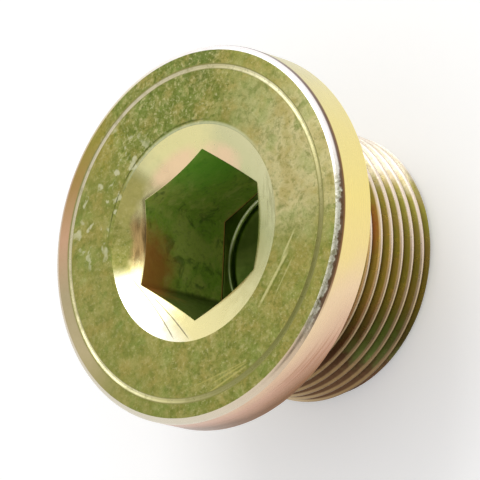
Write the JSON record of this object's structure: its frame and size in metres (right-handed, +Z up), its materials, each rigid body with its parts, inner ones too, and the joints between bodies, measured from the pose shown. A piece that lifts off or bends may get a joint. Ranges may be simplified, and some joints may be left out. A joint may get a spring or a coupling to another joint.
{
  "type": "hex socket plug",
  "caption": "Collared screw plug with a hexagon socket in a flat round head, a sealing face under the collar and a fine-threaded shank.",
  "frame": {"origin": "centre of the shank's end face, the lowest point of the plug", "axes": "+Z up along the plug's axis, out of the middle of the head; +X through a corner of the hexagon socket"},
  "size_m": [0.0356, 0.0356, 0.0196],
  "materials": {
    "plated_steel": "yellow-passivated zinc plating"
  },
  "bodies": {
    "root": {"plug": "plated_steel"}
  },
  "joints": []
}
